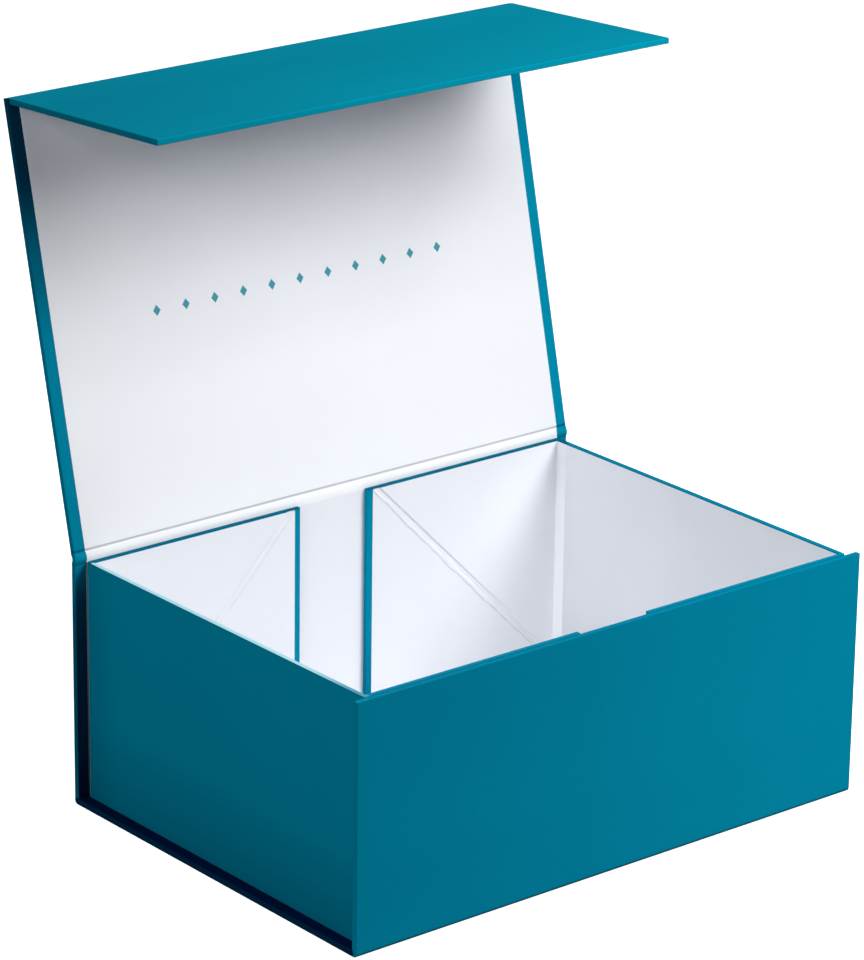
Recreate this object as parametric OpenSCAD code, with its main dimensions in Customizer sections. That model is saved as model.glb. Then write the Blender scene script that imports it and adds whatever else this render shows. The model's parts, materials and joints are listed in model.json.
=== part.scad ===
// Presentation box: a fold-flat rigid box with a hinged lid and a closing flap.
// X runs along the front, Y towards the back and Z up. The origin is the centre
// of the underside of the base. The lid stands open and leans back, and the flap
// stands forward from the lid's upper edge.

/* [Tray] */
// Length of the tray over its side walls
tray_len = 230; // [212:1:300]
// Depth of the tray over its front and back corner flaps
tray_depth = 165; // [120:1:220]
// Height of the tray's walls
wall_h = 94.5; // [60:0.5:100]
// Thickness of the grey board in the tray's walls
wall_board_t = 1.5; // [1:0.1:2.5]
// Outer radius of the tray's upright corners
tray_corner_r = 1.2; // [0.6:0.1:2]
// Distance from the slanting crease to the free edge, along the top of a corner flap
crease_to_edge = 4; // [3:0.5:8]
// Width left free of board along the slanting crease
crease_gap = 2.6; // [2.2:0.1:4]
// Depth that the lining is pressed in along the slanting crease
crease_depth = 0.5; // [0.2:0.05:0.8]
// Width of the paper flange that joins a side wall to the base
flange_w = 12; // [6:1:20]

/* [Case] */
// Thickness of the grey board in the case
case_board_t = 2; // [1.5:0.1:3]
// How far the case stands out past the tray at each end
overhang = 5; // [3:0.5:8]
// Drop of the front panel's top edge below the tray's rim
front_drop = 0; // [0:0.1:3]
// Outer radius of the folds under the front and back panels
fold_r = 1.5; // [0.8:0.1:2.5]
// Gap between the base board and the boards of the front and back panels
fold_gap = 0.6; // [0.3:0.1:1.5]
// Bare paper on each side of the lid's hinge line, before the board starts
gutter_half = 2.1; // [1.9:0.1:4]

/* [Paper] */
// Thickness of the wrapping and lining papers
paper_t = 0.15; // [0.1:0.05:0.25]
// Width of the wrapping turned in over the case boards
case_turn_in = 15; // [10:1:20]
// Width of the wrapping turned in over the tray boards
tray_turn_in = 12; // [8:1:16]
// Border of wrapping left showing round the case lining
case_border = 5; // [3:0.5:8]
// Border of wrapping left showing along the tray's rim
rim_border = 0.6; // [0.3:0.1:2]
// Border of wrapping left showing along the free edge of a corner flap
edge_border = 2.6; // [1:0.1:5]

/* [Lid and flap] */
// Angle that the open lid leans back from upright
lid_lean = 13.2; // [0:0.1:40]
// Angle that the flap rises towards its free edge
flap_angle = 3.1; // [0:0.1:20]
// Height of the flap's free edge above the ground when the box is closed
flap_reveal = 4.5; // [2:0.5:30]
// Width of the paper strip between the lid's crease and the flap's crease
strip_w = 3.4; // [3.2:0.1:5]
// Bare paper from a crease of that strip to the board beside it
crease_set = 0.5; // [0.5:0.1:1]

/* [Closure] */
// Diameter of a closure magnet
magnet_d = 12; // [6:1:16]
// Thickness of a closure magnet
magnet_t = 1.2; // [0.8:0.1:1.4]
// Distance between the two magnets of a pair
magnet_spacing = 150; // [60:5:180]
// Distance from the flap's free edge to the magnets' centres
magnet_inset = 14; // [10:1:30]
// Width of a strip of assembly tape
tape_w = 22; // [10:1:30]
// Thickness of the assembly tape
tape_t = 0.2; // [0.1:0.05:0.4]
// Distance from the tape to the edges of its board
tape_inset = 6; // [3:1:10]

/* [Clearances] */
// Gap between the closed lid and the tray's rim
lid_clear = 0.3; // [0.2:0.1:1]
// Gap between the closed flap and the front panel
flap_clear = 0.5; // [0.3:0.1:1]
// Gap on each side of a hinge line or crease, between the papers that meet there
hinge_clear = 0.25; // [0.2:0.05:0.3]
// Gap round a magnet in its pocket
magnet_clear = 0.1; // [0.05:0.05:0.3]
// Gap between the boards that meet in an upright corner of the tray
corner_clear = 0.5; // [0.3:0.1:1]
// Gap between the floor lining and the walls round it
floor_clear = 0.2; // [0.1:0.1:1]

/* [Hidden] */
$fn = 48;
eps = 0.01;
beyond = 1;
teal = [0.0, 0.46, 0.58];
white = [0.95, 0.95, 0.97];
grey = [0.62, 0.58, 0.52];
steel = [0.75, 0.76, 0.78];
amber = [0.85, 0.8, 0.62];

// Layers of a case panel, counted from its outer face
case_skin = paper_t;
case_board_top = case_skin + case_board_t;
case_turned = case_board_top + paper_t;
case_t = case_turned + paper_t;

// Layers of a tray wall, counted from its outer face
wall_skin = paper_t;
wall_board_top = wall_skin + wall_board_t;
wall_turned = wall_board_top + paper_t;
wall_t = wall_turned + paper_t;

// Outer half sizes and heights
tray_x = tray_len / 2;
tray_y = tray_depth / 2;
case_x = tray_x + overhang;
sheet_x = case_x - case_border;
case_y = tray_y + tape_t + case_t;
tray_z = case_t;
rim_z = tray_z + wall_h;
front_top = rim_z - front_drop;

// Hinge lines
hinge_y = case_y - case_t / 2;
hinge_z = rim_z + lid_clear + case_t / 2;
back_top = hinge_z - gutter_half;
lid_span = hinge_y + case_y + flap_clear + case_t - paper_t;
flap_len = hinge_z + case_t / 2 - paper_t - strip_w - flap_reveal;
lid_crease_bend = 90;
flap_crease_bend = lid_lean - flap_angle;

// Corner flaps of the tray
flap_w = wall_h + crease_to_edge;
gap_run = crease_gap / sqrt(2);
corner_board_x = wall_board_top + corner_clear;
tape_x = flap_w - tape_inset - tape_w;
tape_top = tape_x - gap_run - tape_inset;

// Magnets, as distances from the flap's crease and above the ground
magnet_run = flap_len - magnet_inset;
magnet_z = flap_reveal + magnet_inset;

// A block from its lowest to its highest corner
module block(low, high) {
    translate(low) cube(high - low);
}

// A profile drawn in Y and Z, drawn out along X
module along_x(x0, x1) {
    translate([x0, 0, 0]) rotate([90, 0, 90]) linear_extrude(x1 - x0) children();
}

// The same shape on both ends of the box
module both_ends() {
    children();
    mirror([1, 0, 0]) children();
}

// Section of the case filled from its outer face less an inset, rounded at both lower folds
module case_fill(inset, top_front, top_back) {
    r = max(fold_r - inset, 0);
    y = case_y - inset;
    translate([-y + r, inset]) square([2 * (y - r), fold_r + beyond]);
    translate([-y, inset + r]) square([y, top_front - inset - r]);
    translate([0, inset + r]) square([y, top_back - inset - r]);
    if (r > 0) {
        translate([-y + r, inset + r]) circle(r);
        translate([y - r, inset + r]) circle(r);
    }
}

// Layer of the case section between two depths below its outer face
module case_layer(depth0, depth1, top_front, top_back) {
    difference() {
        case_fill(depth0, top_front, top_back);
        case_fill(depth1, top_front + beyond, top_back + beyond);
    }
}

// Half of the wrapping paper in a hinge gutter: from the board's edge in to the hinge line
module gutter_wrap() {
    polygon([
        [gutter_half + eps, 0], [gutter_half + eps, case_skin], [gutter_half, case_skin],
        [gutter_half / 2, case_t / 2], [hinge_clear, case_t / 2],
        [hinge_clear, case_t / 2 - paper_t], [gutter_half / 2, case_t / 2 - paper_t],
        [gutter_half - paper_t, 0]
    ]);
}

// Half of the lining paper in a hinge gutter
module gutter_liner() {
    translate([0, case_t]) mirror([0, 1]) gutter_wrap();
}

// Half of the wrapping turned in over the end of a hinge gutter
module gutter_turn_in() {
    translate([0, case_turned]) mirror([0, 1]) gutter_wrap();
}

// Half of the end of a hinge gutter, closed where the wrapping turns in
module gutter_end() {
    polygon([
        [gutter_half + eps, 0], [gutter_half + eps, case_turned],
        [gutter_half - paper_t, case_turned], [gutter_half / 2, case_t / 2],
        [hinge_clear, case_t / 2], [hinge_clear, case_t / 2 - paper_t],
        [gutter_half / 2, case_t / 2 - paper_t], [gutter_half - paper_t, 0]
    ]);
}

// Half of the wrapping along a hinge gutter and turned in at both its ends
module gutter_sheet() {
    along_x(-case_x, case_x) gutter_wrap();
    both_ends() {
        along_x(sheet_x, case_x) gutter_turn_in();
        along_x(case_x - paper_t, case_x) gutter_end();
    }
}

// Wrapping from a board's edge to the crease of the fold, flat on the outside
module crease_wrap() {
    translate([hinge_clear, 0]) square([crease_set - hinge_clear + eps, paper_t]);
}

// Paper from a board's inner face to the crease: down the edge, then out over the wrapping
module crease_step(top) {
    translate([hinge_clear, paper_t]) square([crease_set - hinge_clear, paper_t]);
    translate([crease_set - paper_t, paper_t]) square([paper_t, top - paper_t]);
}

// Wrapping beside a crease and turned in at both its ends
module crease_sheet() {
    along_x(-case_x, case_x) crease_wrap();
    both_ends() along_x(sheet_x, case_x) crease_step(case_turned);
}

// Wrapping of a flat panel lying on its outer face, with its long sides turned in
module panel_wrap(start, end, turn_end) {
    closed = turn_end ? paper_t : -beyond;
    window = turn_end ? case_turn_in : -beyond;
    difference() {
        block([-case_x, start, 0], [case_x, end, case_turned]);
        block(
            [-case_x + paper_t, start - beyond, case_skin],
            [case_x - paper_t, end - closed, case_board_top]
        );
        block(
            [-case_x + case_turn_in, start - beyond, case_skin],
            [case_x - case_turn_in, end - window, case_turned + beyond]
        );
    }
}

// Lining of a flat panel: a sheet over the turn-ins and its middle, down on the board
module panel_liner(start, end, border_end) {
    border = border_end ? case_border : 0;
    window = border_end ? case_turn_in : 0;
    block([-sheet_x, start, case_turned], [sheet_x, end - border, case_t]);
    block(
        [-case_x + case_turn_in, start, case_board_top],
        [case_x - case_turn_in, end - window, case_turned + eps]
    );
}

// Frame of the lid: Y runs from the hinge line to the flap, Z from outside to inside
module at_lid() {
    translate([0, hinge_y, hinge_z]) rotate([90 - lid_lean, 0, 0]) {
        translate([0, 0, -case_t / 2]) children();
    }
}

// Frame of the strip between lid and flap: Y runs from the lid's crease to the flap's crease
module at_fold() {
    at_lid() translate([0, lid_span, paper_t]) rotate([lid_crease_bend, 0, 0]) {
        translate([0, 0, -paper_t]) children();
    }
}

// Frame of the flap: Y runs from its crease to the free edge, Z from outside to inside
module at_flap() {
    at_fold() translate([0, strip_w, paper_t]) rotate([flap_crease_bend, 0, 0]) {
        translate([0, 0, -paper_t]) children();
    }
}

// Frame of the back panel's upper edge: Y runs down from the hinge line
module at_back_hinge() {
    translate([0, hinge_y, hinge_z]) rotate([-90, 0, 0]) mirror([0, 0, 1]) {
        translate([0, 0, -case_t / 2]) children();
    }
}

// Frame of a tray corner: X runs along the flap, Y inwards from its outer face, Z up
module at_corner(end, face) {
    mirror([end == "right" ? 1 : 0, 0, 0]) mirror([0, face == "back" ? 1 : 0, 0]) {
        translate([-tray_x, -tray_y, tray_z]) children();
    }
}

// A profile drawn in X and Z in a corner's frame, given a depth range inwards
module flap_slab(depth0, depth1) {
    translate([0, depth1, 0]) rotate([90, 0, 0]) linear_extrude(depth1 - depth0) children();
}

// Plan of one end of the tray filled from its outer face less an inset
module tray_fill(inset, reach) {
    r = max(tray_corner_r - inset, 0);
    x = tray_x - inset;
    y = tray_y - inset;
    translate([-x, -y + r]) square([reach - inset, 2 * (y - r)]);
    translate([-x + r, -y]) square([reach - inset - r, 2 * y]);
    if (r > 0) {
        translate([-x + r, -y + r]) circle(r);
        translate([-x + r, y - r]) circle(r);
    }
}

// Layer of the tray's plan between two depths below its outer face
module tray_layer(depth0, depth1, reach) {
    difference() {
        tray_fill(depth0, reach);
        tray_fill(depth1, reach + beyond);
    }
}

// Upright layer of one end of the tray, at heights above its foot
module tray_skin(depth0, depth1, reach, low, high) {
    translate([0, 0, tray_z + low]) linear_extrude(high - low) {
        tray_layer(depth0, depth1, reach);
    }
}

// Band along the slanting crease, drawn in X and Z in a corner's frame
module crease_band() {
    polygon([
        [-gap_run, 0], [gap_run, 0], [wall_h + gap_run, wall_h], [wall_h - gap_run, wall_h]
    ]);
}

// Stretch of a corner flap's inner face that the slanting crease takes up
module crease_zone(low, high) {
    intersection() {
        flap_slab(wall_skin + eps, wall_t + beyond) crease_band();
        block([wall_t, 0, low], [flap_w, wall_t + beyond, high]);
    }
}

// Lining pressed in along the slanting crease, as a shallow channel
module crease_channel() {
    half = crease_gap / 2 + eps;
    foot = crease_gap / 4;
    deep = wall_turned - crease_depth;
    rotate([0, 45, 0]) translate([0, 0, -crease_gap]) linear_extrude(2 * wall_h) polygon([
        [-half, wall_t], [-half, wall_turned], [-foot, deep], [foot, deep],
        [half, wall_turned], [half, wall_t], [foot, deep + paper_t], [-foot, deep + paper_t]
    ]);
}

// Board of a side wall, drawn for the left end
module wall_board() {
    color(grey) block(
        [-tray_x + wall_skin, -tray_y + tray_corner_r, tray_z + paper_t],
        [-tray_x + wall_board_top, tray_y - tray_corner_r, rim_z - paper_t]
    );
}

// Triangular board between a side wall and the slanting crease
module corner_board() {
    top = wall_h - paper_t;
    color(grey) flap_slab(wall_skin, wall_board_top) polygon([
        [corner_board_x, corner_board_x + gap_run],
        [top - gap_run, top],
        [corner_board_x, top]
    ]);
}

// Board beyond the slanting crease, which tape holds to the case
module glue_board() {
    top = wall_h - paper_t;
    end = flap_w - paper_t;
    color(grey) flap_slab(wall_skin, wall_board_top) polygon([
        [gap_run + paper_t, paper_t],
        [end, paper_t],
        [end, top],
        [top + gap_run, top]
    ]);
}

// Wrapping of the left end: a side wall, its two corner flaps and its flange, in one sheet
module tray_wrap() {
    color(teal) {
        difference() {
            union() {
                tray_skin(0, wall_skin, flap_w, 0, wall_h);
                tray_skin(0, wall_turned, flap_w, 0, paper_t);
                tray_skin(0, wall_turned, flap_w, wall_h - paper_t, wall_h);
                tray_skin(wall_board_top, wall_turned, flap_w, wall_h - tray_turn_in, wall_h);
                for (face = ["front", "back"]) at_corner("left", face) {
                    block([flap_w - paper_t, 0, 0], [flap_w, wall_turned, wall_h]);
                    block([flap_w - tray_turn_in, wall_board_top, 0], [flap_w, wall_turned, wall_h]);
                }
            }
            for (face = ["front", "back"]) at_corner("left", face) {
                crease_zone(paper_t, wall_h - paper_t);
            }
        }
        block(
            [-tray_x + wall_skin, -tray_y + wall_turned, tray_z],
            [-tray_x + flange_w, tray_y - wall_turned, tray_z + paper_t]
        );
    }
}

// Lining of the left end: a side wall and its two corner flaps, in one sheet
module tray_liner() {
    end = flap_w - edge_border;
    top = wall_h - rim_border;
    color(white) {
        difference() {
            union() {
                tray_skin(wall_turned, wall_t, end, paper_t, top);
                tray_skin(
                    wall_board_top, wall_turned + eps, flap_w - tray_turn_in, paper_t, wall_h - tray_turn_in
                );
            }
            for (face = ["front", "back"]) at_corner("left", face) crease_zone(0, wall_h);
        }
        for (face = ["front", "back"]) at_corner("left", face) intersection() {
            crease_channel();
            block([wall_t - eps, 0, paper_t], [end, wall_t, top]);
        }
    }
}

// Pair of discs or pockets, centred on X, with their axes along Z
module magnet_pair(diameter, depth) {
    for (side = [-1, 1]) {
        translate([side * magnet_spacing / 2, 0, 0]) cylinder(d = diameter, h = depth);
    }
}

// Place of the front panel's pair, opening to the outside
module at_front_magnets() {
    translate([0, -case_y + case_skin, magnet_z]) rotate([-90, 0, 0]) children();
}

// Place of the flap's pair, opening to the inside
module at_flap_magnets() {
    at_flap() translate([0, magnet_run, case_board_top - magnet_t]) children();
}

module base_board() {
    y = case_y - case_board_top - fold_gap;
    color(grey) block([-case_x + paper_t, -y, case_skin], [case_x - paper_t, y, case_board_top]);
}

module front_board() {
    color(grey) difference() {
        block(
            [-case_x + paper_t, -case_y + case_skin, fold_r],
            [case_x - paper_t, -case_y + case_board_top, front_top - paper_t]
        );
        at_front_magnets() translate([0, 0, -beyond]) {
            magnet_pair(magnet_d + 2 * magnet_clear, magnet_t + beyond);
        }
    }
}

module back_board() {
    color(grey) block(
        [-case_x + paper_t, case_y - case_board_top, fold_r],
        [case_x - paper_t, case_y - case_skin, back_top]
    );
}

// Wrapping under the base and up the front and back, in one sheet to the hinge line
module case_wrap() {
    color(teal) {
        along_x(-case_x, case_x) case_layer(0, case_skin, front_top, back_top);
        both_ends() {
            along_x(case_x - paper_t, case_x) case_layer(0, case_turned, front_top, back_top);
            along_x(case_x - case_turn_in, case_x) {
                case_layer(case_board_top, case_turned, front_top, back_top);
            }
        }
        block(
            [-case_x, -case_y, front_top - paper_t],
            [case_x, -case_y + case_turned, front_top]
        );
        block(
            [-case_x, -case_y + case_board_top, front_top - case_turn_in],
            [case_x, -case_y + case_turned, front_top]
        );
        at_back_hinge() gutter_sheet();
    }
}

// Lining of the front, base and back, in one sheet to the hinge line
module case_liner() {
    inner_x = case_x - case_turn_in;
    color(white) {
        along_x(-sheet_x, sheet_x) {
            case_layer(case_turned, case_t, front_top - case_border, back_top);
        }
        along_x(-inner_x, inner_x) {
            case_layer(case_board_top, case_turned + eps, front_top - case_turn_in, back_top);
        }
        at_back_hinge() along_x(-sheet_x, sheet_x) gutter_liner();
    }
}

// Sheet over the tray's floor, which covers the flanges of both side walls
module floor_liner() {
    x = tray_x - wall_t - floor_clear;
    y = tray_y - wall_t - floor_clear;
    inner_x = tray_x - flange_w - floor_clear;
    color(white) {
        block([-x, -y, tray_z + paper_t], [x, y, tray_z + 2 * paper_t]);
        block([-inner_x, -y, tray_z], [inner_x, y, tray_z + paper_t + eps]);
    }
}

module front_magnets() {
    color(steel) at_front_magnets() magnet_pair(magnet_d, magnet_t);
}

// Four strips between the outer corner flaps and the case's lining
module assembly_tapes() {
    color(amber) for (end = ["left", "right"], face = ["front", "back"]) at_corner(end, face) {
        block([tape_x, -tape_t, tape_inset], [tape_x + tape_w, 0, tape_top]);
    }
}

module left_wall_board() { wall_board(); }
module left_front_corner_board() { at_corner("left", "front") corner_board(); }
module left_front_glue_board() { at_corner("left", "front") glue_board(); }
module left_back_corner_board() { at_corner("left", "back") corner_board(); }
module left_back_glue_board() { at_corner("left", "back") glue_board(); }
module left_tray_wrap() { tray_wrap(); }
module left_tray_liner() { tray_liner(); }
module right_wall_board() { mirror([1, 0, 0]) wall_board(); }
module right_front_corner_board() { at_corner("right", "front") corner_board(); }
module right_front_glue_board() { at_corner("right", "front") glue_board(); }
module right_back_corner_board() { at_corner("right", "back") corner_board(); }
module right_back_glue_board() { at_corner("right", "back") glue_board(); }
module right_tray_wrap() { mirror([1, 0, 0]) tray_wrap(); }
module right_tray_liner() { mirror([1, 0, 0]) tray_liner(); }

module lid_board() {
    color(grey) at_lid() block(
        [-case_x + paper_t, gutter_half, case_skin],
        [case_x - paper_t, lid_span - crease_set, case_board_top]
    );
}

module lid_wrap() {
    color(teal) at_lid() {
        panel_wrap(gutter_half, lid_span - crease_set, false);
        gutter_sheet();
        translate([0, lid_span, 0]) mirror([0, 1, 0]) crease_sheet();
    }
}

module lid_liner() {
    color(white) at_lid() {
        panel_liner(gutter_half, lid_span - crease_set, false);
        along_x(-sheet_x, sheet_x) {
            gutter_liner();
            translate([lid_span, 0]) mirror([1, 0]) crease_step(case_t);
        }
    }
}

// Wrapping of the strip between lid and flap, turned in over the ends of its lining
module fold_wrap() {
    end = strip_w - hinge_clear;
    color(teal) at_fold() {
        block([-case_x, hinge_clear, 0], [case_x, end, paper_t]);
        both_ends() block([sheet_x, hinge_clear, 0], [case_x, end, 2 * paper_t]);
    }
}

module fold_liner() {
    end = strip_w - hinge_clear;
    color(white) at_fold() block([-sheet_x, hinge_clear, paper_t], [sheet_x, end, 2 * paper_t]);
}

module flap_board() {
    color(grey) difference() {
        at_flap() block(
            [-case_x + paper_t, crease_set, case_skin],
            [case_x - paper_t, flap_len - paper_t, case_board_top]
        );
        at_flap_magnets() magnet_pair(magnet_d + 2 * magnet_clear, magnet_t + beyond);
    }
}

module flap_wrap() {
    color(teal) at_flap() {
        panel_wrap(crease_set, flap_len, true);
        crease_sheet();
    }
}

module flap_liner() {
    color(white) at_flap() {
        panel_liner(crease_set, flap_len, true);
        along_x(-sheet_x, sheet_x) crease_step(case_t);
    }
}

module flap_magnets() {
    color(steel) at_flap_magnets() magnet_pair(magnet_d, magnet_t);
}

base_board();
front_board();
back_board();
case_wrap();
case_liner();
floor_liner();
front_magnets();
assembly_tapes();
left_wall_board();
left_front_corner_board();
left_front_glue_board();
left_back_corner_board();
left_back_glue_board();
left_tray_wrap();
left_tray_liner();
right_wall_board();
right_front_corner_board();
right_front_glue_board();
right_back_corner_board();
right_back_glue_board();
right_tray_wrap();
right_tray_liner();
lid_board();
lid_wrap();
lid_liner();
fold_wrap();
fold_liner();
flap_board();
flap_wrap();
flap_liner();
flap_magnets();
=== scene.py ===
import json
import math

import bmesh
import bpy
from mathutils import Matrix, Vector


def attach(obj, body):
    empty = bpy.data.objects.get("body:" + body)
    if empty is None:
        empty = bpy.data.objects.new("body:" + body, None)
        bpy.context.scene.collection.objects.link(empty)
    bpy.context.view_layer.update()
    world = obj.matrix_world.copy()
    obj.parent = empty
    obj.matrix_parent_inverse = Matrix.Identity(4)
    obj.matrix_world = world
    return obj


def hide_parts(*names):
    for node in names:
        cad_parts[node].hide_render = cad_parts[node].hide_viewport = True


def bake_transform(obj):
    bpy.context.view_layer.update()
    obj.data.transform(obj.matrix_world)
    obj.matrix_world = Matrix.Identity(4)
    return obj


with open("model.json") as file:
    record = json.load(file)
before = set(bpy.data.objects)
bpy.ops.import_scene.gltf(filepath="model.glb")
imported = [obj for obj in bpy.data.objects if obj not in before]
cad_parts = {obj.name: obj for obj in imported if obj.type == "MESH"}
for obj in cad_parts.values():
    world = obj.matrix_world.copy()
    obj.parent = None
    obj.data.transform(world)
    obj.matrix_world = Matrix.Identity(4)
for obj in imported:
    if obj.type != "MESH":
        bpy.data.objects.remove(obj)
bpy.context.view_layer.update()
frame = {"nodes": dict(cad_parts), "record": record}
nodes = frame["nodes"]
scene = bpy.context.scene
MM = 0.001

# Camera, fitted to the corners seen in the photograph
CAM_PLACE = Vector((-1.0435251, -1.2415519, 0.7122616))
CAM_RIGHT = Vector((0.773889, -0.633189, 0.012973))
CAM_UP = Vector((0.205356, 0.27026, 0.940632))
CAM_FORWARD = Vector((0.599103, 0.72528, -0.33918))
SENSOR = 36.0
LENS = 174.8824
NEAREST = 0.05
FARTHEST = 20

# Papers and hinges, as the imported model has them
PAPER = 0.15 * MM
CASE_T = 2.45 * MM
HINGE = Vector((0, 83.925, 98.475)) * MM
LEAN = math.radians(13.2)
RISE = math.radians(3.1)
LID_SPAN = 171.875 * MM
STRIP_W = 3.4 * MM
FLAP_LEN = 91.65 * MM
CASE_X = 120 * MM
LINER_X = 115 * MM

# Light: how the floor looks to the camera, what it sends back to the box, and the deepest shade
FLOOR_GLOW = 0.92
FLOOR_BOUNCE = (0.2, 0.2, 0.21, 1)
FLOOR_BOUNCE_LEFT = (0.02, 0.02, 0.025, 1)
WORLD_LIGHT = 0.1
WORLD_COLOUR = (0.93, 0.96, 1.0, 1)
NAVY = (0.0, 0.0, 0.035, 1)


def make_camera():
    data = bpy.data.cameras.new("camera")
    data.sensor_fit = "AUTO"
    data.sensor_width = SENSOR
    data.lens = LENS
    data.clip_start = NEAREST
    data.clip_end = FARTHEST
    camera = bpy.data.objects.new("camera", data)
    turn = Matrix((CAM_RIGHT, CAM_UP, -CAM_FORWARD)).transposed().to_4x4()
    camera.matrix_world = Matrix.Translation(CAM_PLACE) @ turn
    scene.collection.objects.link(camera)
    scene.camera = camera


class Shader:
    """A material whose nodes are added and joined by short calls."""

    def __init__(self, name):
        self.material = bpy.data.materials.new(name)
        self.material.use_nodes = True
        self.tree = self.material.node_tree
        self.out = next(n for n in self.tree.nodes if n.type == "OUTPUT_MATERIAL")
        self.bsdf = next(n for n in self.tree.nodes if n.type == "BSDF_PRINCIPLED")
        self.place = self.add("ShaderNodeTexCoord").outputs["Object"]

    def add(self, kind, settings=None, **sockets):
        node = self.tree.nodes.new(kind)
        for key, value in (settings or {}).items():
            setattr(node, key, value)
        for key, value in sockets.items():
            self.put(node.inputs[key.replace("_", " ")], value)
        return node

    def put(self, socket, value):
        if isinstance(value, bpy.types.NodeSocket):
            self.tree.links.new(value, socket)
        else:
            socket.default_value = value

    def xyz(self):
        node = self.add("ShaderNodeSeparateXYZ", Vector=self.place)
        return node.outputs[0], node.outputs[1], node.outputs[2]

    def noise(self, scale, detail=3.0, rough=0.55, place=None):
        node = self.add("ShaderNodeTexNoise", Scale=scale, Detail=detail, Roughness=rough)
        self.put(node.inputs["Vector"], place or self.place)
        return node.outputs["Fac"]

    def stretched(self, x, y, z):
        node = self.add("ShaderNodeMapping", Vector=self.place)
        node.inputs["Scale"].default_value = (x, y, z)
        return node.outputs["Vector"]

    def span(self, value, low, high, to_low=0.0, to_high=1.0):
        node = self.add("ShaderNodeMapRange", {"interpolation_type": "SMOOTHSTEP"}, Value=value)
        limits = {"From Min": low, "From Max": high, "To Min": to_low, "To Max": to_high}
        for key, number in limits.items():
            node.inputs[key].default_value = number
        return node.outputs["Result"]

    def maths(self, operation, a, b=0.0):
        node = self.add("ShaderNodeMath", {"operation": operation})
        self.put(node.inputs[0], a)
        self.put(node.inputs[1], b)
        return node.outputs[0]

    def mix(self, factor, a, b):
        node = self.add("ShaderNodeMix", {"data_type": "RGBA"})
        self.put(node.inputs[0], factor)
        self.put(node.inputs[6], a)
        self.put(node.inputs[7], b)
        return node.outputs[2]

    def bump(self, height, distance, strength=1.0, normal=None):
        node = self.add("ShaderNodeBump", Height=height, Distance=distance, Strength=strength)
        if normal is not None:
            self.put(node.inputs["Normal"], normal)
        return node.outputs["Normal"]

    def paint(self, **sockets):
        for key, value in sockets.items():
            self.put(self.bsdf.inputs[key.replace("_", " ")], value)
        return self.material


def linear(red, green, blue):
    """Colour given as 0 to 255 display values."""
    def one(value):
        value /= 255
        return value / 12.92 if value <= 0.04045 else ((value + 0.055) / 1.055) ** 2.4
    return (one(red), one(green), one(blue), 1.0)


# Painted light: the tray, case and flap teals are lit copies of the plain teal, painted lighter; their
# shade functions then paint them darker again.
PLAIN_TEALS = ((0, 142, 173), (0, 139, 170))
TRAY_TEALS = ((0, 147, 181), (0, 144, 178))
CASE_TEALS = ((0, 152, 186), (0, 149, 183))
FLAP_TEALS = ((0, 147, 170), (0, 144, 167))


def teal_paper(name="teal_paper", shade=None, tones=PLAIN_TEALS, pattern=None):
    s = Shader(name)
    cloud = s.noise(14, 3)
    fibre = s.noise(2600, 2, 0.6, s.stretched(1, 0.35, 1))
    light, dark = tones
    colour = s.mix(s.span(cloud, 0.3, 0.7), linear(*dark), linear(*light))
    colour = s.mix(s.span(fibre, 0.35, 0.75), colour, linear(0, 146, 177))
    if shade:
        colour = s.mix(shade(s), NAVY, colour)
    if pattern:
        colour = pattern(s, colour)
    tooth = s.bump(fibre, 0.00002, 0.35)
    normal = s.bump(s.noise(120, 2), 0.00005, 0.25, tooth)
    return s.paint(
        Base_Color=colour, Roughness=0.7, Specular_IOR_Level=0.05,
        Specular_Tint=linear(0, 150, 180), Normal=normal,
    )


def beyond(s, value, edge, soft=0.1):
    """1 where the value, in millimetres, is past an edge and 0 before it."""
    return s.span(value, (edge - soft) * MM, (edge + soft) * MM)


def short_of(s, value, edge, soft=0.1):
    """0 where the value, in millimetres, is past an edge and 1 before it."""
    return s.maths("SUBTRACT", 1.0, beyond(s, value, edge, soft))


def step(s, value, *stops):
    """A factor that runs smoothly through stops of (millimetres, factor), given in rising order."""
    result = stops[0][1]
    for (low, before), (high, after) in zip(stops, stops[1:]):
        part = s.span(value, low * MM, high * MM, 0.0, 1.0)
        result = s.maths("ADD", result, s.maths("MULTIPLY", part, after - before))
    return result


def pick(s, factor, off, on):
    """One number where the factor is 0 and another where it is 1."""
    gap = s.maths("SUBTRACT", on, off)
    return s.maths("ADD", off, s.maths("MULTIPLY", factor, gap))


# Places where the shade changes, in millimetres along X, Y or Z
END_FACE = -119.65
LEDGE_START = -114.9
LINING_EDGE = -114.5
FRONT_FACE = -84.95
FRONT_INSIDE = -83.5
BACK_FLAP = 75
BACK_PANEL = 80
BASE_TOP = 2.7
RIM_START = 96.4

# The row of diamonds in the lid, in millimetres
ROW_PITCH = 13.5
ROW_SHIFT = 0.5
ROW_RUN = 84
ROW_HALF = 70
MARK_HALF = 1.7

# Where the slanting creases lie: the sum of the distances from the middle and from the ground
CREASE_SUM = 115.2


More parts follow.
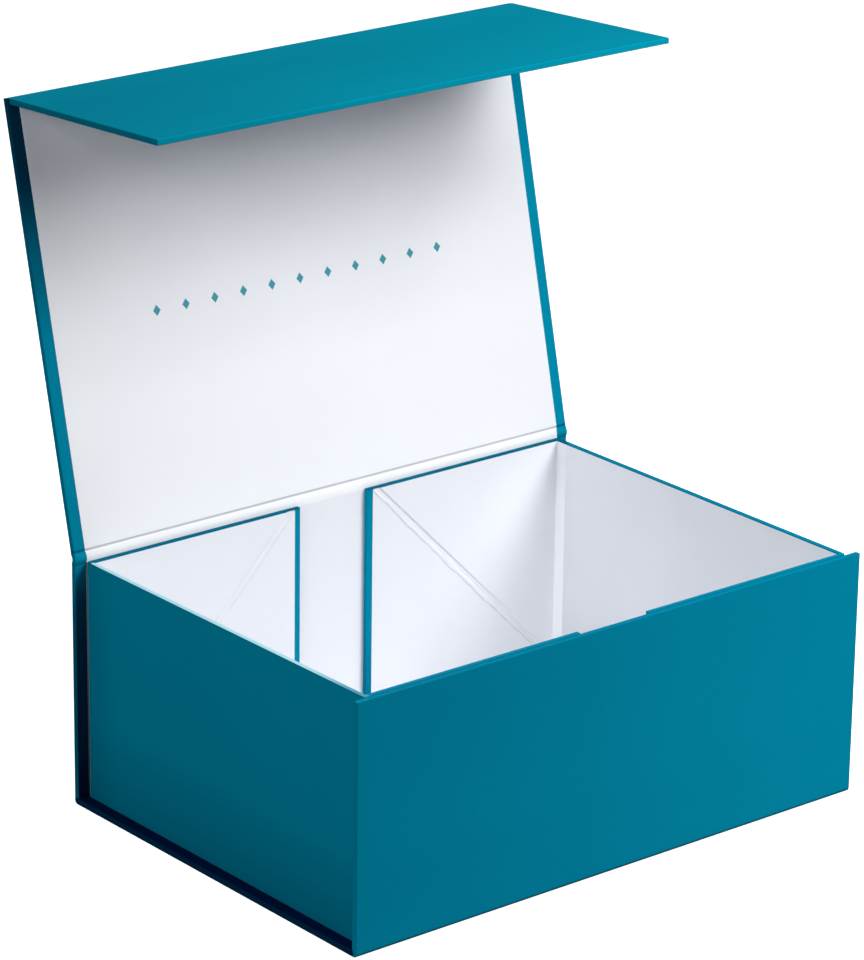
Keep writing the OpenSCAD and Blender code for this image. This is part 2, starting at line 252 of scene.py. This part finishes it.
def shell_shade(s):
    """The ledge round the tray's left end lies in deep shade, and so does the foot of the front."""
    x, y, z = s.xyz()
    ledge = step(s, z, (0, 0.05), (30, 0.13), (62, 0.17), (80, 0.25), (97, 0.85))
    back_end = step(s, z, (0, 0.5), (30, 0.4), (75, 0.4), (97, 0.85))
    outer = short_of(s, x, END_FACE)
    in_back = beyond(s, y, BACK_PANEL)
    low = short_of(s, z, BASE_TOP)
    inner = pick(s, low, ledge, 0.03)
    end = pick(s, in_back, 0.95, back_end)
    base_end = s.maths("MULTIPLY", low, beyond(s, y, FRONT_INSIDE))
    end = pick(s, base_end, end, 0.1)
    value = pick(s, outer, inner, end)
    left = short_of(s, x, LEDGE_START)
    # Painted shade away from the left end: darker at the foot, towards the top, along the top edge and
    # to the left.
    front = step(s, z, (0.1, 0.15), (1.0, 0.6), (1.7, 1.0), (30, 0.955), (96.4, 0.87), (96.7, 0.7))
    front = s.maths("MULTIPLY", front, step(s, x, (-110, 0.91), (110, 1.0)))
    value = s.maths("MULTIPLY", value, 0.877)
    behind = s.maths("MULTIPLY", left, beyond(s, y, FRONT_FACE, 0.05))
    left = s.maths("MAXIMUM", behind, outer)
    return pick(s, left, front, value)


def lid_shade(s):
    """Painted shade: the lid's borders grow darker towards the flap, on the left most of all."""
    x, y, z = s.xyz()
    left = step(s, z, (104, 0.78), (150, 0.8), (175, 0.76), (205, 0.5), (238, 0.17))
    right = step(s, z, (100, 0.92), (190, 0.88), (265, 0.55))
    value = pick(s, beyond(s, x, 0, 50), left, right)
    depth = s.add("ShaderNodeVectorMath", {"operation": "DOT_PRODUCT"})
    s.put(depth.inputs[0], s.place)
    depth.inputs[1].default_value = (0, -math.cos(LEAN), math.sin(LEAN))
    outer = HINGE.z * math.sin(LEAN) - HINGE.y * math.cos(LEAN) - CASE_T / 2
    inside = s.span(depth.outputs["Value"], outer + 0.1 * MM, outer + 0.4 * MM)
    foot = foot_groove(s, 0.55)
    return s.maths("MULTIPLY", pick(s, inside, 1.0, value), foot)


def foot_groove(s, deepest):
    """The pressed groove at the lid's foot holds less light."""
    return step(s, along_lid(s), (2.0, 1.0), (2.45, deepest), (3.0, deepest), (3.5, 1.0))


def hinge_end_shade(s):
    """Painted shade: the hinge's bead is darker below and in its groove."""
    bead = step(s, along_lid(s), (-2.6, 0.75), (0.5, 0.95), (2.0, 0.85))
    return s.maths("MULTIPLY", foot_groove(s, 0.5), bead)


def flap_shade(s):
    """Painted light and shade: lighter to the right and towards the fold and the free edge, and darker
    on the left end.
    """
    x, y, z = s.xyz()
    across = step(s, x, (-119.9, 0.55), (-119.6, 0.84), (0, 0.93), (120, 1.0))
    return s.maths("MULTIPLY", across, step(s, y, (32, 1.0), (60, 0.955), (95, 0.92), (119, 0.98)))


def tray_shade(s):
    """The tray's outer walls darken towards the ground, and the rims catch less light."""
    x, y, z = s.xyz()
    rim = pick(s, beyond(s, y, BACK_FLAP), 0.8, 0.45)
    wall = step(s, z, (2, 0.62), (8, 0.7), (20, 0.795), (38, 0.945), (75, 0.96))
    wall = s.maths("MULTIPLY", wall, step(s, y, (62, 1.0), (80, 0.88)))
    return pick(s, beyond(s, z, 96.5), wall, rim)


def rim_light(s, colour):
    """The top edge of the left wall catches the light."""
    x, y, z = s.xyz()
    across = step(s, x, (-114.95, 0.0), (-114.85, 1.0), (-112.8, 1.0), (-112.6, 0.0))
    lit = s.maths("MULTIPLY", across, beyond(s, z, RIM_START))
    lit = s.maths("MULTIPLY", lit, step(s, y, (-80, 0.15), (-45, 0.8), (79.8, 0.8), (80.3, 0.0)))
    return s.mix(lit, colour, linear(190, 238, 245))


def along_lid(s):
    """Distance from the hinge line along the lid, as a socket."""
    run = s.add("ShaderNodeVectorMath", {"operation": "DOT_PRODUCT"})
    s.put(run.inputs[0], s.place)
    run.inputs[1].default_value = (0, math.sin(LEAN), math.cos(LEAN))
    return s.maths("SUBTRACT", run.outputs["Value"], HINGE.y * math.sin(LEAN) + HINGE.z * math.cos(LEAN))


def foot_line_shade(s, colour):
    """Painted shade: a grey line in the pressed groove along the lid's foot."""
    line = step(s, along_lid(s), (2.05, 0), (2.3, 1), (2.95, 1), (3.25, 0))
    return s.mix(line, colour, linear(203, 203, 210))


def lid_print_and_shade(s, colour):
    """The painted shade of the pressed line at the foot, the painted shade under the flap and a plain
    row of small diamonds.
    """
    x, y, z = s.xyz()
    run = along_lid(s)
    tone = step(s, run, (50, 1.0), (75, 0.955), (110, 0.97), (130, 1.0))
    band = step(s, run, (70, 0.0), (120, 0.12), (135, 0.12), (165, 0.0))
    side = step(s, x, (-112, 0.4), (-80, 0.0), (40, 0.0), (95, 1.0))
    colour = s.mix(s.maths("SUBTRACT", tone, s.maths("MULTIPLY", band, side)), NAVY, colour)
    colour = foot_line_shade(s, colour)
    nearest = s.maths("PINGPONG", s.maths("ADD", x, ROW_SHIFT * MM), ROW_PITCH / 2 * MM)
    up = s.maths("ABSOLUTE", s.maths("SUBTRACT", along_lid(s), ROW_RUN * MM))
    shape = s.maths("ADD", nearest, s.maths("MULTIPLY", up, 0.8))
    in_row = short_of(s, s.maths("ABSOLUTE", x), ROW_HALF)
    inside = s.maths("MULTIPLY", short_of(s, shape, MARK_HALF, 0.15), in_row)
    return s.mix(inside, colour, linear(60, 150, 165))


def corner_creases(s, colour):
    """Painted shade: two fine grey lines and a few wrinkles where each back corner flap was creased."""
    x, y, z = s.xyz()
    wave = s.noise(60, 3, 0.6)
    drift = s.span(wave, 0.25, 0.75, -0.5 * MM, 0.5 * MM)
    spread = step(s, z, (5, 0.9), (45, 1.5), (75, 1.1), (95, 0.25))
    slant = s.maths("SUBTRACT", s.maths("ADD", s.maths("ABSOLUTE", x), z), CREASE_SUM * MM)
    slant = s.maths("ADD", slant, drift)
    spread = s.maths("MULTIPLY", spread, MM)
    on_back = s.maths("MULTIPLY", beyond(s, y, BACK_FLAP), step(s, x, (-2, 0.35), (2, 1.0)))
    for side, strength in (("SUBTRACT", 0.16), ("ADD", 0.3)):
        away = s.maths("ABSOLUTE", s.maths(side, slant, spread))
        line = s.maths("SUBTRACT", 1.0, s.span(away, 0.1 * MM, 0.75 * MM))
        line = s.maths("MULTIPLY", line, s.span(s.noise(140, 2, 0.5), 0.3, 0.55, 0.45, 1.0))
        line = s.maths("MULTIPLY", s.maths("MULTIPLY", line, strength), on_back)
        colour = s.mix(line, colour, linear(96, 100, 112))
    return colour


def case_lining_edge(s, colour):
    """Beside the tray's left end the lining's edge lies in the shade of the ledge."""
    x, y, z = s.xyz()
    at_edge = short_of(s, x, LINING_EDGE)
    depth = step(s, z, (3, 0.97), (12, 0.85), (90, 0.55))
    return s.mix(s.maths("MULTIPLY", at_edge, depth), colour, linear(4, 14, 24))


def corner_glow(s):
    """Painted light: a glow standing in for the light that the white papers pass on into the back right
    corner.
    """
    x, y, z = s.xyz()
    depth = step(s, z, (0, 0.2), (60, 0.15), (96, 0.04))
    glow = s.maths("MULTIPLY", step(s, x, (45, 0.0), (113, 1.0)), depth)
    return s.maths("MULTIPLY", glow, beyond(s, y, BACK_FLAP))


PLAIN_WHITES = ((236, 238, 243), (239, 241, 246))
# Painted light: the lid and foot whites are lit copies of the plain white, painted lighter where more
# light falls.
LID_WHITES = ((241, 243, 247), (243, 245, 249))
FOOT_WHITES = ((248, 249, 250), (250, 251, 252))


def white_paper(name="white_paper", pattern=None, tones=PLAIN_WHITES, glow=None):
    s = Shader(name)
    cloud = s.noise(18, 3)
    fibre = s.noise(2200, 2, 0.6, s.stretched(1, 0.4, 1))
    base = s.mix(s.span(cloud, 0.3, 0.7), linear(*tones[0]), linear(*tones[1]))
    if pattern:
        base = pattern(s, base)
    if glow:
        s.paint(Emission_Color=(0.95, 0.97, 1.0, 1), Emission_Strength=glow(s))
    tooth = s.bump(fibre, 0.000015, 0.3)
    normal = s.bump(s.noise(90, 2), 0.00006, 0.2, tooth)
    return s.paint(Base_Color=base, Roughness=0.75, Specular_IOR_Level=0.25, Normal=normal)


def grey_board():
    s = Shader("grey_board")
    fleck = s.noise(1500, 4, 0.7)
    layers = s.noise(400, 3, 0.6, s.stretched(0.2, 1, 1))
    base = s.mix(s.span(fleck, 0.4, 0.7), linear(150, 143, 132), linear(176, 169, 157))
    normal = s.bump(layers, 0.00008, 0.6)
    return s.paint(Base_Color=base, Roughness=0.95, Specular_IOR_Level=0.1, Normal=normal)


def magnet_steel():
    s = Shader("magnet")
    grain = s.noise(900, 2, 0.5, s.stretched(1, 12, 1))
    rough = s.span(grain, 0.3, 0.7, 0.22, 0.34)
    normal = s.bump(grain, 0.00001, 0.3)
    return s.paint(Base_Color=linear(196, 198, 202), Metallic=1.0, Roughness=rough, Normal=normal)


def tape():
    s = Shader("tape")
    weave = s.noise(700, 2, 0.5, s.stretched(1, 6, 1))
    base = s.mix(s.span(weave, 0.35, 0.7), linear(222, 208, 160), linear(232, 220, 178))
    normal = s.bump(weave, 0.00003, 0.4)
    return s.paint(Base_Color=base, Roughness=0.45, Specular_IOR_Level=0.4, Normal=normal)


def floor_paper():
    s = Shader("floor")
    seen = s.add("ShaderNodeLightPath").outputs["Is Camera Ray"]
    along = s.add("ShaderNodeSeparateXYZ", Vector=s.place).outputs["X"]
    bounce = s.mix(s.span(along, -0.2, -0.1), FLOOR_BOUNCE_LEFT, FLOOR_BOUNCE)
    colour = s.mix(seen, bounce, linear(240, 241, 243))
    s.paint(Base_Color=colour, Roughness=0.9, Specular_IOR_Level=0.0)
    return s.paint(Emission_Color=(1, 1, 1, 1), Emission_Strength=s.maths("MULTIPLY", seen, FLOOR_GLOW))


def dress_nodes():
    made = {
        "teal_paper": teal_paper(), "white_paper": white_paper(), "grey_board": grey_board(),
        "magnet": magnet_steel(), "tape": tape(),
    }
    tray = teal_paper("teal_tray", tray_shade, TRAY_TEALS, rim_light)
    for part in frame["record"]["subparts"]:
        mesh = nodes[part["node"]].data
        mesh.materials.clear()
        mesh.materials.append(made[part["material_slot"]])
    for end, glow in (("left", None), ("right", corner_glow)):
        nodes[end + "_tray_wrap"].data.materials[0] = tray
        lining = white_paper("white_tray_" + end, corner_creases, glow=glow)
        nodes[end + "_tray_liner"].data.materials[0] = lining
    return made


# Rounded pieces of wrapped board and bending paper, which stand for the square CAD papers
EDGE = 0.35 * MM
TURNED = 2.3 * MM
RIM_TOP = 96.95 * MM
CASE_Y = 85.15 * MM
FOLD_R = 1.5 * MM
BORDER = 5 * MM
GUTTER = 1.95 * MM
LID_START = 2.75 * MM
CREASE_SET = 0.5 * MM
STRIP_CLEAR = 0.3 * MM
CREASE_R = 0.4 * MM
END_R = 0.45 * MM
HINGE_BEND = 1.3 * MM
BEAD_REACH = 2.6 * MM
LAP = 0.1 * MM
SINK = 0.02 * MM
THIN = 0.05 * MM
TEAL_ACROSS = (-CASE_X, CASE_X)
WHITE_ACROSS = (-LINER_X, LINER_X)
BOARD_DEPTH = (0, TURNED)
LINING_DEPTH = (TURNED - SINK, CASE_T)
STEPS = 4


def turned(y, z, angle):
    cosine, sine = math.cos(angle), math.sin(angle)
    return cosine * y - sine * z, sine * y + cosine * z


def at_lid(y, n):
    """Lid frame to the side view: y runs from the hinge line to the flap, n from outside in."""
    dy, dz = turned(y, n - CASE_T / 2, math.pi / 2 - LEAN)
    return HINGE.y + dy, HINGE.z + dz


def at_back(y, n):
    """Back panel's frame to the side view: y runs down from the hinge line."""
    return HINGE.y + CASE_T / 2 - n, HINGE.z - y


def at_fold(y, n):
    dy, dz = turned(y, n - PAPER, math.pi / 2)
    return at_lid(LID_SPAN + dy, PAPER + dz)


def at_flap(y, n):
    dy, dz = turned(y, n - PAPER, LEAN - RISE)
    return at_fold(STRIP_W + dy, PAPER + dz)


def side_view(x, point):
    return (x, point[0], point[1])


def make_object(name, points, faces, material):
    mesh = bpy.data.meshes.new(name)
    mesh.from_pydata([tuple(p) for p in points], [], faces)
    mesh.validate()
    mesh.materials.append(material)
    tidy = bmesh.new()
    tidy.from_mesh(mesh)
    bmesh.ops.recalc_face_normals(tidy, faces=tidy.faces)
    tidy.to_mesh(mesh)
    tidy.free()
    for face in mesh.polygons:
        face.use_smooth = True
    piece = bpy.data.objects.new(name, mesh)
    scene.collection.objects.link(piece)
    piece.modifiers.new("even_normals", "WEIGHTED_NORMAL").keep_sharp = True
    return piece


def section(x0, x1, n0, n1, radius, inset):
    """A rounded rectangle drawn in by a margin, as points across and through the board."""
    r = max(radius - inset, 0.01 * MM)
    x0, x1, n0, n1 = x0 + inset, x1 - inset, n0 + inset, n1 - inset
    points = []
    corners = ((x1 - r, n0 + r, -90), (x1 - r, n1 - r, 0), (x0 + r, n1 - r, 90), (x0 + r, n0 + r, 180))
    for cx, cn, first in corners:
        for k in range(STEPS + 1):
            a = math.radians(first + 90 * k / STEPS)
            points.append((cx + r * math.cos(a), cn + r * math.sin(a)))
    return points


def straight(start, end, normal, parts=1):
    """Samples along a straight stretch: each turns a depth into a point of the side view."""
    made = []
    for k in range(parts + 1):
        p = [start[i] + (end[i] - start[i]) * k / parts for i in (0, 1)]
        made.append(lambda n, p=p: (p[0] + n * normal[0], p[1] + n * normal[1]))
    return made


def bend(centre, radius, first, last, parts=8):
    """Samples round an outer radius, which meet in the inner corner at depths past it."""
    a0, a1 = math.radians(first), math.radians(last)
    corner = (-math.cos(a0) - math.cos(a1), -math.sin(a0) - math.sin(a1))
    made = []
    for k in range(1, parts):
        a = a0 + (a1 - a0) * k / parts
        out = (math.cos(a), math.sin(a))

        def at(n, out=out):
            left = radius - n
            if left >= 0:
                return centre[0] + left * out[0], centre[1] + left * out[1]
            return centre[0] - left * corner[0], centre[1] - left * corner[1]
        made.append(at)
    return made


def joined_rings(count, size):
    """Faces between rings of points that follow one another, closed at both ends."""
    faces = []
    for k in range(count - 1):
        for i in range(size):
            j = (i + 1) % size
            faces.append((k * size + i, k * size + j, (k + 1) * size + j, (k + 1) * size + i))
    faces.append(tuple(range(size)))
    faces.append(tuple(range((count - 1) * size, count * size)))
    return faces


def slab(name, samples, across, depth, radius, material):
    """A board wrapped in paper: a rounded section carried along a path and rounded at both ends."""
    x0, x1 = across
    n0, n1 = depth
    rings = []

    def end_rings(first, second):
        a, b = first(0), second(0)
        size = math.dist(a, b)
        way = ((b[0] - a[0]) / size, (b[1] - a[1]) / size)
        for k in range(STEPS):
            turn = math.pi / 2 * k / STEPS
            ahead = radius * (1 - math.cos(turn))
            loop = section(x0, x1, n0, n1, radius, radius * (1 - math.sin(turn)) * 0.97)
            yield [(x, (first(n)[0] + way[0] * ahead, first(n)[1] + way[1] * ahead)) for x, n in loop]

    def shifted(first, second):
        a, b = first(0), second(0)
        size = math.dist(a, b)
        way = ((b[0] - a[0]) / size * radius, (b[1] - a[1]) / size * radius)
        return lambda n: (first(n)[0] + way[0], first(n)[1] + way[1])

    path = [shifted(samples[0], samples[1]), *samples[1:-1], shifted(samples[-1], samples[-2])]
    rings += end_rings(samples[0], samples[1])
    loop = section(x0, x1, n0, n1, radius, 0)
    rings += [[(x, at(n)) for x, n in loop] for at in path]
    rings += list(end_rings(samples[-1], samples[-2]))[::-1]
    points = [side_view(x, p) for ring in rings for x, p in ring]
    return make_object(name, points, joined_rings(len(rings), len(loop)), material)


def extruded(name, stations, material):
    """Closed outlines of the side view, one for each place along X, joined in order."""
    points = [side_view(x, p) for x, outline in stations for p in outline]
    faces = joined_rings(len(stations), len(stations[0][1]))
    return make_object(name, points, faces, material)


def flat_path(frame_at, start, end, parts=1):
    """Samples along a flat panel in one of the frames."""
    a, b = frame_at(start, 0), frame_at(end, 0)
    inner = frame_at(start, 1)
    return straight(a, b, (inner[0] - a[0], inner[1] - a[1]), parts)


def case_path(front_end, back_end):
    """Down the front, under the base and up the back, on the outer face."""
    r = FOLD_R
    out = straight((-CASE_Y, front_end), (-CASE_Y, r), (1, 0))
    out += bend((-CASE_Y + r, r), r, 180, 270)
    out += straight((-CASE_Y + r, 0), (CASE_Y - r, 0), (0, 1))
    out += bend((CASE_Y - r, r), r, -90, 0)
    out += straight((CASE_Y, r), (CASE_Y, back_end), (-1, 0))
    return out


def make_case():
    """The front, base and back, as one wrapped shell and its lining."""
    back_end = HINGE.z - GUTTER
    paper = teal_paper("teal_shell", shell_shade, CASE_TEALS)
    path = case_path(RIM_TOP, back_end)
    shell = slab("case_shell", path, TEAL_ACROSS, BOARD_DEPTH, EDGE, paper)
    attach(shell, "box")
    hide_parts("case_wrap")
    paper = white_paper("white_case", case_lining_edge)
    path = case_path(RIM_TOP - BORDER, back_end + LAP)
    inside = slab("case_lining", path, WHITE_ACROSS, LINING_DEPTH, THIN, paper)
    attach(inside, "box")
    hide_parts("case_liner")


def make_lid():
    paper = teal_paper("teal_lid", lid_shade)
    path = flat_path(at_lid, LID_START, LID_SPAN - CREASE_SET + LAP)
    cover = slab("lid_cover", path, TEAL_ACROSS, BOARD_DEPTH, EDGE, paper)
    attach(cover, "lid")
    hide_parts("lid_wrap")
    paper = white_paper("white_lid", lid_print_and_shade, LID_WHITES)
    path = flat_path(at_lid, LID_START + PAPER + THIN, LID_SPAN - CREASE_SET + PAPER)
    sheet = slab("lid_lining", path, WHITE_ACROSS, LINING_DEPTH, THIN, paper)
    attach(sheet, "lid")
    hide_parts("lid_liner")


def make_flap(white):
    """The closing flap and the strip of bare paper between it and the lid."""
    paper = teal_paper("teal_flap", flap_shade, FLAP_TEALS)
    path = flat_path(at_flap, CREASE_SET - LAP, FLAP_LEN)
    flap = slab("flap_cover", path, TEAL_ACROSS, BOARD_DEPTH, EDGE, paper)
    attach(flap, "flap")
    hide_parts("flap_wrap")
    path = flat_path(at_flap, CREASE_SET - PAPER, FLAP_LEN - BORDER - THIN)
    sheet = slab("flap_lining", path, WHITE_ACROSS, LINING_DEPTH, THIN, white)
    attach(sheet, "flap")
    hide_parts("flap_liner")
    path = flat_path(at_fold, STRIP_CLEAR, STRIP_W - STRIP_CLEAR)
    strip = slab("strip_cover", path, TEAL_ACROSS, (0, 1.9 * PAPER), 2 * THIN, paper)
    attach(strip, "fold")
    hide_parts("fold_wrap")
    depth = (1.8 * PAPER, 2 * PAPER)
    lining = slab("strip_lining", path, WHITE_ACROSS, depth, THIN / 5, white)
    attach(lining, "fold")
    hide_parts("fold_liner")


def hinge_outline(outer_lid, inner_lid, inner_back, outer_back):
    """Closed outline across the lid's gutter, from points (distance from the hinge line, depth)."""
    return (
        [at_back(y, n) for y, n in outer_back] + [at_lid(y, n) for y, n in outer_lid]
        + [at_lid(y, n) for y, n in inner_lid] + [at_back(y, n) for y, n in inner_back]
    )


def mm(*pairs):
    return [(a * MM, b * MM) for a, b in pairs]


OUTER_LID = mm((0.25, 1.06), (0.6, 0.98), (1.0, 0.74), (1.4, 0.42), (1.75, 0.2), (2.1, 0.1), (2.6, 0.06))
OUTER_BACK = OUTER_LID[::-1]
SPINE_LID = mm((2.6, 0.3), (2.1, 0.35), (1.75, 0.42), (1.4, 0.62), (1.0, 0.94), (0.6, 1.2), (0.25, 1.28))


def bends_at_hinge(piece):
    start, end = at_back(HINGE_BEND, CASE_T / 2), at_lid(HINGE_BEND, CASE_T / 2)
    side_view(0, start)
    side_view(0, end)
    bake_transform(piece)


def make_hinge(teal, white):
    spine = hinge_outline(OUTER_LID, SPINE_LID, SPINE_LID[::-1], OUTER_BACK)
    piece = extruded("hinge_spine", [(-LINER_X, spine), (LINER_X, spine)], teal)
    bends_at_hinge(piece)
    groove = mm(
        (3.1, 2.36), (2.85, 2.34), (2.65, 2.24), (2.45, 2.2), (2.25, 2.24), (2.0, 2.36), (1.6, 2.43),
    )
    inner_lid = mm((3.1, 2.2)) + groove + mm((0.7, 2.47), (0.25, 2.48))
    inner_back = mm((0.25, 2.48), (0.9, 2.48), (1.5, 2.46), (2.1, 2.44), (2.5, 2.36), (2.5, 1.5))
    floor_lid = mm((0.25, 1.2), (1.4, 1.3))
    lining = hinge_outline(floor_lid, inner_lid, inner_back, floor_lid[::-1])
    piece = extruded("hinge_lining", [(-LINER_X, lining), (LINER_X, lining)], white)
    bends_at_hinge(piece)
    outer = mm((0.25, 0.5), (0.8, 0.44), (1.3, 0.28), (1.8, 0.1), (2.3, 0.02), (3.0, 0.03))
    hump_lid = mm(
        (3.1, 1.5), (3.1, 2.28), (2.85, 2.27), (2.65, 2.22), (2.45, 2.2), (2.25, 2.24), (2.05, 2.36),
        (1.75, 2.5), (1.3, 2.62), (0.8, 2.7), (0.25, 2.75),
    )
    hump_back = mm((0.25, 2.75), (0.9, 2.7), (1.5, 2.56), (2.1, 2.36), (2.5, 2.15), (2.5, 1.5))
    full = hinge_outline(outer, hump_lid, hump_back, outer[::-1])
    middle = (HINGE.y, HINGE.z)

    def drawn_in(scale):
        return [tuple(middle[i] + (p[i] - middle[i]) * scale for i in (0, 1)) for p in full]

    end_paper = teal_paper("teal_hinge_end", hinge_end_shade)
    for side, name in ((-1, "hinge_end_left"), (1, "hinge_end_right")):
        stations = []
        for past, scale in ((-0.25 * MM, 0.9), (-0.1 * MM, 0.98), (0.2 * MM, 1.0)):
            stations.append((side * (LINER_X + past), drawn_in(scale)))
        for k in range(6):
            turn = math.pi / 2 * k / 5
            inset = END_R * (1 - math.cos(turn))
            outline = drawn_in(1 - inset / BEAD_REACH)
            stations.append((side * (CASE_X - END_R + END_R * math.sin(turn)), outline))
        piece = extruded(name, stations, end_paper)
        bends_at_hinge(piece)


def make_crease(name, side_a, side_b, teal, white):
    """Papers bent over a crease. A side turns (distance, depth) into a point of the side view."""

    def arc(depth, count=8):
        """Round the outer corner, from side a to side b, at a depth under the outer face."""
        at = CREASE_R - PAPER
        a, b = side_a(at, depth), side_b(at, depth)
        far_a, far_b = side_a(at + MM, depth), side_b(at + MM, depth)
        da = (a[0] - far_a[0], a[1] - far_a[1])
        db = (b[0] - far_b[0], b[1] - far_b[1])
        cross = da[0] * db[1] - da[1] * db[0]
        if abs(cross) < 1e-9:
            return [a, b]
        t = ((b[0] - a[0]) * db[1] - (b[1] - a[1]) * db[0]) / cross
        corner = (a[0] + t * da[0], a[1] + t * da[1])
        made = []
        for k in range(count + 1):
            w = k / count
            weights = (1 - w) ** 2, 2 * w * (1 - w), w * w
            mixed = zip(*(tuple(weight * c for c in p) for weight, p in zip(weights, (a, corner, b))))
            made.append(tuple(sum(parts) for parts in mixed))
        return made

    reach, tuck = 1.1 * MM, 0.45 * MM
    outer = [side_a(reach, 3 * SINK)] + arc(SINK) + [side_b(reach, 3 * SINK)]
    inner = [side_b(tuck, 1.7 * PAPER)] + arc(1.85 * PAPER)[::-1] + [side_a(tuck, 1.7 * PAPER)]
    loop = outer + inner
    end_x = CASE_X - PAPER
    cover = extruded(name + "_cover", [(-end_x, loop), (end_x, loop)], teal)
    start, end = side_a(0.6 * MM, PAPER), side_b(0.6 * MM, PAPER)
    side_view(0, start)
    side_view(0, end)
    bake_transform(cover)
    top = [side_a(tuck, 1.8 * PAPER)] + arc(1.8 * PAPER) + [side_b(tuck, 1.8 * PAPER)]
    under = [side_b(tuck, 2 * PAPER)] + arc(2 * PAPER)[::-1] + [side_a(tuck, 2 * PAPER)]
    loop = top + under
    lining = extruded(name + "_lining", [(-LINER_X, loop), (LINER_X, loop)], white)
    side_view(0, start)
    side_view(0, end)
    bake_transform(lining)


def make_creases(teal, white):
    make_crease(
        "lid_crease", lambda d, n: at_lid(LID_SPAN - d, n), at_fold, teal, white,
    )
    make_crease(
        "flap_crease", lambda d, n: at_fold(STRIP_W - d, n), at_flap, teal, white,
    )


# Name, place, aim, width and height of each light in metres, and its power in watts
LIGHTS = (
    ("key", (0.42, -0.55, 0.72), (0, 0, 0.12), (0.5, 0.5), 9),
    ("top", (-0.1, 0.25, 1.3), (0, 0, 0.08), (0.6, 0.6), 2.4),
    ("left", (-1.0, -0.1, 0.6), (0, 0, 0.06), (0.5, 0.5), 4.4),
)
FLOOR_SIZE = 8
FLOOR_DROP = 0.2 * MM


def area_light(name, place, aim, size, power):
    data = bpy.data.lights.new(name, "AREA")
    data.shape = "RECTANGLE"
    data.size, data.size_y = size
    data.energy = power
    light = bpy.data.objects.new(name, data)
    light.location = place
    light.rotation_mode = "QUATERNION"
    light.rotation_quaternion = (Vector(aim) - Vector(place)).to_track_quat("-Z", "Y")
    scene.collection.objects.link(light)


def make_stage(material):
    bpy.ops.mesh.primitive_plane_add(size=FLOOR_SIZE, location=(0, 0, -FLOOR_DROP))
    floor = bpy.context.object
    floor.name = "floor"
    floor.data.materials.append(material)
    world = bpy.data.worlds.new("world")
    scene.world = world
    world.use_nodes = True
    tree = world.node_tree
    tree.nodes.clear()
    out = tree.nodes.new("ShaderNodeOutputWorld")
    mix = tree.nodes.new("ShaderNodeMixShader")
    path = tree.nodes.new("ShaderNodeLightPath")
    seen = tree.nodes.new("ShaderNodeBackground")
    light = tree.nodes.new("ShaderNodeBackground")
    seen.inputs["Color"].default_value = (1, 1, 1, 1)
    seen.inputs["Strength"].default_value = 1.0
    light.inputs["Color"].default_value = WORLD_COLOUR
    light.inputs["Strength"].default_value = WORLD_LIGHT
    tree.links.new(path.outputs["Is Camera Ray"], mix.inputs["Fac"])
    tree.links.new(light.outputs[0], mix.inputs[1])
    tree.links.new(seen.outputs[0], mix.inputs[2])
    tree.links.new(mix.outputs[0], out.inputs["Surface"])


make_camera()
MATERIALS = dress_nodes()
make_case()
make_lid()
make_flap(MATERIALS["white_paper"])
make_hinge(MATERIALS["teal_paper"], white_paper("white_foot", foot_line_shade, FOOT_WHITES))
make_creases(MATERIALS["teal_paper"], MATERIALS["white_paper"])
make_stage(floor_paper())
for settings in LIGHTS:
    area_light(*settings)
scene.view_settings.view_transform = "Standard"
